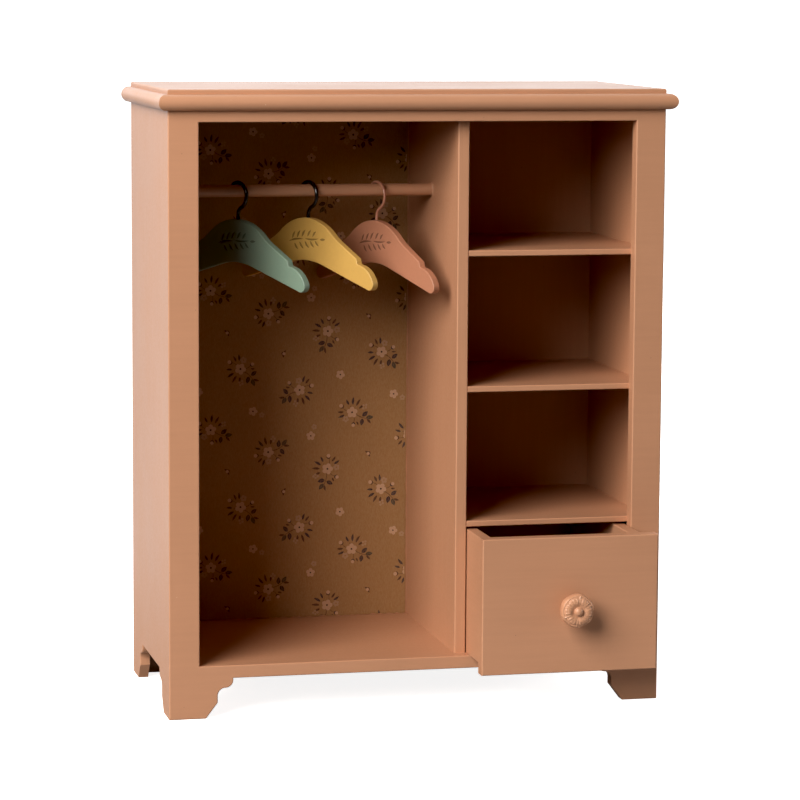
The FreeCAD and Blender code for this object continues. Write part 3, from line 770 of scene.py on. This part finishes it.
def hanger(colour, degrees, tint):
    """A flat hanger with rounded edges and a shallow engraved sprig on its front. The mesh has no bore: the
    hook's stem runs on inside it."""
    joint = next(j for j in frame["joints"] if j["name"] == f"{colour}_hanger_swivel")
    stem = Vector((joint["pos_m"][0], joint["pos_m"][1], 0))
    angle = math.radians(degrees)
    points, faces, engraved = board_mesh(board_contour(f"hanger_board_{colour}", stem, angle))
    along = Vector((math.cos(angle), -math.sin(angle), 0))
    through = Vector((math.sin(angle), math.cos(angle), 0))
    placed = [stem + MM * (along * p.x + through * p.y + Vector((0, 0, p.z))) for p in points]
    flush = paint(f"{colour}_hanger_paint", tint, ALONG["x"], 0.44, 0.03, 0.35)
    # the engraved faces take a darker copy of the board's paint: painted shade in the grooves
    shadow = shade(tint, ENGRAVED_SHADE)
    painted_groove_shade = paint(f"{colour}_engraved_painted_shade", shadow, ALONG["x"], 0.6, 0.03, 0.35)
    board = piece(f"{colour}_hanger", placed, faces, [flush, painted_groove_shade], f"hanger_{colour}",
                  [f"hanger_board_{colour}"])
    for polygon in board.data.polygons:
        polygon.material_index = int(polygon.index in engraved)
    weld(board, 0.002 * MM)
    keep_flats(board)


for colour, (degrees, tint) in HANGERS.items():
    hanger(colour, degrees, tint)


# ---------------------------------------------------------------- paint beads round the rod's ends

BEAD_POINTS = 96
# how far along the rod and how far out of it the bead reaches, as shares of its size
BEAD_PROFILE = [(0.0, -0.05), (0.0, 1.0), (0.12, 0.62), (0.3, 0.3), (0.62, 0.1), (1.0, 0.0), (1.0, -0.05)]


def bead(name, x, outwards):
    """A thin concave bead of paint where the rod meets a board."""
    low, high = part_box("hanging_rod")
    centre = (low + high) / 2
    radius = (high.z - low.z) / 2 / MM
    rng = random.Random(len(name))
    angles = [TURN * k / BEAD_POINTS for k in range(BEAD_POINTS)]
    sizes = [0.5 + 0.12 * math.sin(angle * 3 + 1) + 0.05 * rng.random() for angle in angles]
    points = []
    for along, out in BEAD_PROFILE:
        for angle, size in zip(angles, sizes):
            reach = radius + out * size
            points.append((x + outwards * MM * along * size, centre.y + MM * reach * math.cos(angle),
                           centre.z + MM * reach * math.sin(angle)))
    faces = ring_faces(len(BEAD_PROFILE), BEAD_POINTS)
    last = (len(BEAD_PROFILE) - 1) * BEAD_POINTS
    faces += [(last + k, last + (k + 1) % BEAD_POINTS, (k + 1) % BEAD_POINTS, k) for k in range(BEAD_POINTS)]
    ring = piece(name, points, faces, [rod_paint], "carcass")
    weld(ring, 0.0005 * MM)


bead("rod_bead_left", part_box("side_panel_left")[1].x, 1)
bead("rod_bead_right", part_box("divider")[0].x, -1)


# ---------------------------------------------------------------- stage, light and camera

# The floor is white to the camera. The object sees it lit within FLOOR_LIT of the middle, and in front it
# falls to dark at FLOOR_DARK. Reflections see its sheen behind the object.
FLOOR_REACH = 60.0
FLOOR_LIT = 0.22
FLOOR_DARK = 0.5
FLOOR_BOUNCE = 0.4
FLOOR_FAR_BOUNCE = 0.05
FLOOR_GLOW = 0.88
FLOOR_SHEEN = (0.61, 0.67, 0.72)
# The room round the object, in front of it and behind it, for reflections and for soft light.
GLOSS_FRONT = 0.02
GLOSS_BACK = (1.79, 1.96, 2.09)
AMBIENT_FRONT = 0.02
AMBIENT_BACK = 0.1
# The camera's place, its angles in radians and its lens in mm.
EYE = (-0.3706, -1.58595, 0.3609)
YAW = 0.2293
PITCH = -0.1284
ROLL = 0.0061
LENS = 146.2
AIM = Vector((0, 0, 0.15))
WHITE = (1.0, 1.0, 1.0)


def stage():
    """A plain pale floor."""
    tree = Tree("studio_floor")
    grain = tree.noise(60, 3, 0.6)
    pale = tree.mix(grain, (0.90, 0.895, 0.89), (0.93, 0.925, 0.92))
    away = tree.nodes.new("ShaderNodeVectorMath")
    away.operation = "LENGTH"
    tree.put(away.inputs[0], tree.place)
    far = tree.fit(away.outputs["Value"], FLOOR_LIT, FLOOR_DARK)
    split = tree.nodes.new("ShaderNodeSeparateXYZ")
    tree.put(split.inputs["Vector"], tree.place)
    front = tree.fit(split.outputs["Y"], 0.2, -0.2)
    seen = tree.nodes.new("ShaderNodeLightPath").outputs["Is Camera Ray"]
    lit = tree.mix(tree.math("MULTIPLY", far, front), (FLOOR_BOUNCE,) * 3, (FLOOR_FAR_BOUNCE,) * 3)
    tree.put(tree.shader.inputs["Base Color"], tree.mix(seen, lit, pale))
    tree.put(tree.shader.inputs["Roughness"], tree.fit(grain, 0.3, 0.7, 0.75, 0.85))
    glow = tree.mix(far, (FLOOR_GLOW,) * 3, WHITE)
    mirrored = tree.nodes.new("ShaderNodeLightPath").outputs["Is Glossy Ray"]
    back = tree.fit(split.outputs["Y"], 0.1, 0.5)
    sheen = tree.mix(tree.math("MULTIPLY", mirrored, back), (0.0, 0.0, 0.0), FLOOR_SHEEN)
    tree.put(tree.shader.inputs["Emission Color"], tree.mix(seen, sheen, glow))
    tree.shader.inputs["Emission Strength"].default_value = 1.0
    mesh = bpy.data.meshes.new("studio_floor")
    corners = [(x * FLOOR_REACH, y * FLOOR_REACH, 0) for x, y in ((-1, -1), (1, -1), (1, 1), (-1, 1))]
    mesh.from_pydata(corners, [], [(0, 1, 2, 3)])
    mesh.materials.append(tree.material)
    floor = bpy.data.objects.new("studio_floor", mesh)
    bpy.context.scene.collection.objects.link(floor)


def studio():
    """White all round for the camera, a white backdrop for reflections, and a dim room for the rest."""
    world = bpy.data.worlds.new("studio")
    world.use_nodes = True
    nodes = world.node_tree.nodes
    links = world.node_tree.links
    nodes.clear()
    rays = nodes.new("ShaderNodeLightPath")
    split = nodes.new("ShaderNodeSeparateXYZ")
    links.new(nodes.new("ShaderNodeTexCoord").outputs["Generated"], split.inputs["Vector"])
    behind = nodes.new("ShaderNodeMapRange")
    behind.inputs["From Min"].default_value = -0.3
    behind.inputs["From Max"].default_value = 0.4
    links.new(split.outputs["Y"], behind.inputs["Value"])
    gloss = mixed(nodes, links, behind.outputs["Result"], (GLOSS_FRONT,) * 3, GLOSS_BACK)
    soft = mixed(nodes, links, behind.outputs["Result"], (AMBIENT_FRONT,) * 3, (AMBIENT_BACK,) * 3)
    unseen = mixed(nodes, links, rays.outputs["Is Diffuse Ray"], gloss, soft)
    colour = mixed(nodes, links, rays.outputs["Is Camera Ray"], unseen, WHITE)
    shell = nodes.new("ShaderNodeBackground")
    links.new(colour, shell.inputs["Color"])
    links.new(shell.outputs["Background"], nodes.new("ShaderNodeOutputWorld").inputs["Surface"])
    bpy.context.scene.world = world


def lamp(name, azimuth, elevation, distance, energy, colour, size, size_y):
    """A soft oval light that shines on the object from degrees to the right of its front and above it."""
    around = math.radians(azimuth)
    up = math.radians(elevation)
    towards = Vector((math.sin(around) * math.cos(up), -math.cos(around) * math.cos(up), math.sin(up)))
    data = bpy.data.lights.new(name, "AREA")
    data.energy = energy
    data.color = colour
    data.shape = "ELLIPSE"
    data.size = size
    data.size_y = size_y
    light = bpy.data.objects.new(name, data)
    light.location = AIM + distance * towards
    light.rotation_mode = "QUATERNION"
    light.rotation_quaternion = (-towards).to_track_quat("-Z", "Y")
    light.visible_camera = False
    bpy.context.scene.collection.objects.link(light)
    return light


def camera():
    """The camera at the photograph's viewing angle."""
    forward = Vector((math.sin(YAW) * math.cos(PITCH), math.cos(YAW) * math.cos(PITCH), math.sin(PITCH)))
    level = Vector((math.cos(YAW), -math.sin(YAW), 0))
    upright = level.cross(forward)
    right = level * math.cos(ROLL) + upright * math.sin(ROLL)
    up = upright * math.cos(ROLL) - level * math.sin(ROLL)
    data = bpy.data.cameras.new("view")
    data.lens = LENS
    data.sensor_width = 36
    eye = bpy.data.objects.new("view", data)
    eye.matrix_world = Matrix.Translation(EYE) @ Matrix((right, up, -forward)).transposed().to_4x4()
    bpy.context.scene.collection.objects.link(eye)
    bpy.context.scene.camera = eye


def view():
    """Deep shadows: a low gamma, and a black level just above nothing."""
    settings = bpy.context.scene.view_settings
    settings.view_transform = "Standard"
    settings.gamma = 0.87
    settings.use_curve_mapping = True
    settings.curve_mapping.black_level = (0.008, 0.008, 0.008)
    settings.curve_mapping.update()


stage()
studio()
lamp("key", -49, 30, 1.75, 53, (1.0, 0.985, 0.965), 1.2, 1.35)
lamp("fill", 78, 10, 2.2, 15, WHITE, 1.6, 1.6)
back = lamp("back", 138, 8, 2.4, 40, (1.0, 0.99, 0.98), 1.6, 1.6)
back.visible_glossy = False
camera()
view()
